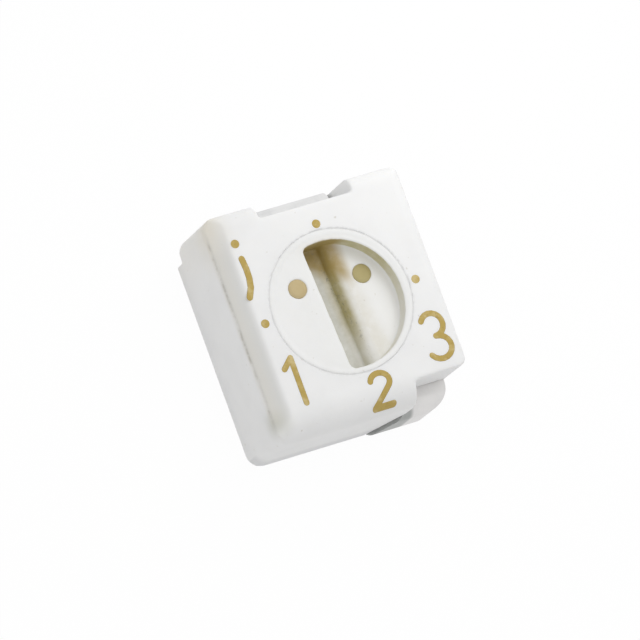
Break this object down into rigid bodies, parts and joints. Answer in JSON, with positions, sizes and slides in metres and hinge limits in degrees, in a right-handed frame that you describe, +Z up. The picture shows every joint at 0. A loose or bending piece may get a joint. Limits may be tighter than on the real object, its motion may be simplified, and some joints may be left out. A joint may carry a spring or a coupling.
{
  "type": "trimmer potentiometer",
  "caption": "Small square surface-mount trimmer with a D-shaped driver recess in its turning rotor and J-hook terminals under the body.",
  "frame": {"origin": "on the rotor axis at the seating plane, which is also the middle of the footprint", "axes": "+Z up along the rotor axis, +Y towards the centre terminal, +X to the right as seen from the end terminals' side"},
  "size_m": [0.0044, 0.005, 0.0024],
  "materials": {
    "housing_plastic": "moulded white, fine matt skin",
    "rotor_plastic": "moulded ivory, tan in the recess",
    "pin_plastic": "tan moulded pin ends",
    "terminal_metal": "tin-plated, satin",
    "solder": "dull bright solder",
    "wiper_metal": "spring alloy, satin",
    "ceramic": "fired, unglazed",
    "resistive_film": "fired thick film, black",
    "conductive_film": "fired silver film",
    "sealing_compound": "cast compound, slightly uneven",
    "seal_rubber": "moulded rubber"
  },
  "bodies": {
    "case": {"housing": "housing_plastic", "base_frame": "housing_plastic", "base_seal": "sealing_compound", "substrate": "ceramic", "resistive_track": "resistive_film", "end_pad_left": "conductive_film", "end_pad_right": "conductive_film", "collector": "conductive_film", "terminal_left": "terminal_metal", "terminal_right": "terminal_metal", "terminal_centre": "terminal_metal", "solder_left": "solder", "solder_right": "solder", "solder_centre": "solder"},
    "rotor": {"rotor": "rotor_plastic", "wiper": "wiper_metal", "wiper_pin_left": "pin_plastic", "wiper_pin_right": "pin_plastic", "seal_ring": "seal_rubber"}
  },
  "joints": [
    {"name": "rotor_turn", "type": "hinge", "parent": "case", "child": "rotor", "pos_m": [0, 0, 0.0018], "axis": [0, 0, 1], "range_deg": [-105, 105]}
  ]
}
